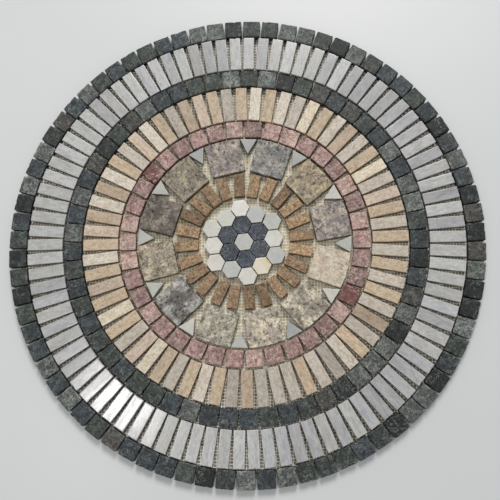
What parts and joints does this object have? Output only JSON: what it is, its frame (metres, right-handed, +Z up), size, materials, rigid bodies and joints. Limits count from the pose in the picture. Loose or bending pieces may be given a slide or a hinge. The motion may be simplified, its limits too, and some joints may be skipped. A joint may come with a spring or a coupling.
{
  "type": "marble medallion",
  "caption": "Round mosaic medallion of cut marble and travertine: rings of squares, bricks and slabs around a hexagon rosette, laid on a net backing with open joints.",
  "frame": {"origin": "centre of the underside of the net backing", "axes": "+Z up out of the stone face, across the thickness; +X and +Y in the plane of the disc"},
  "size_m": [0.6083, 0.6083, 0.01],
  "materials": {
    "green_marble": "tumbled matt, veined dark green to grey",
    "white_marble": "honed, white with grey clouds",
    "cream_marble": "honed, cream and tan",
    "rose_marble": "tumbled matt, rose with pale veins",
    "travertine": "rough honed, grey-brown clouds and small pits",
    "brown_travertine": "rough honed, speckled brown",
    "dark_marble": "honed, blue-black",
    "glass_fibre_net": "pale net soaked in dried glue"
  },
  "bodies": {
    "root": {"net_backing": "glass_fibre_net", "brown_bricks": "brown_travertine", "rose_squares": "rose_marble", "cream_bricks": "cream_marble", "green_squares": "green_marble", "white_bricks": "white_marble", "edge_squares": "green_marble", "centre_hexagon": "white_marble", "dark_hexagon_1": "dark_marble", "dark_hexagon_2": "dark_marble", "dark_hexagon_3": "dark_marble", "dark_hexagon_4": "dark_marble", "dark_hexagon_5": "dark_marble", "dark_hexagon_6": "dark_marble", "pale_hexagon_01": "white_marble", "pale_hexagon_02": "white_marble", "pale_hexagon_03": "white_marble", "pale_hexagon_04": "white_marble", "pale_hexagon_05": "white_marble", "pale_hexagon_06": "white_marble", "pale_hexagon_07": "white_marble", "pale_hexagon_08": "white_marble", "pale_hexagon_09": "white_marble", "pale_hexagon_10": "white_marble", "pale_hexagon_11": "white_marble", "pale_hexagon_12": "white_marble", "travertine_slab_01": "travertine", "travertine_slab_02": "travertine", "travertine_slab_03": "travertine", "travertine_slab_04": "travertine", "travertine_slab_05": "travertine", "travertine_slab_06": "travertine", "travertine_slab_07": "travertine", "travertine_slab_08": "travertine", "travertine_slab_09": "travertine", "travertine_slab_10": "travertine", "travertine_slab_11": "travertine", "travertine_slab_12": "travertine", "white_triangle_01": "white_marble", "white_triangle_02": "white_marble", "white_triangle_03": "white_marble", "white_triangle_04": "white_marble", "white_triangle_05": "white_marble", "white_triangle_06": "white_marble", "white_triangle_07": "white_marble", "white_triangle_08": "white_marble", "white_triangle_09": "white_marble", "white_triangle_10": "white_marble", "white_triangle_11": "white_marble", "white_triangle_12": "white_marble"}
  },
  "joints": []
}
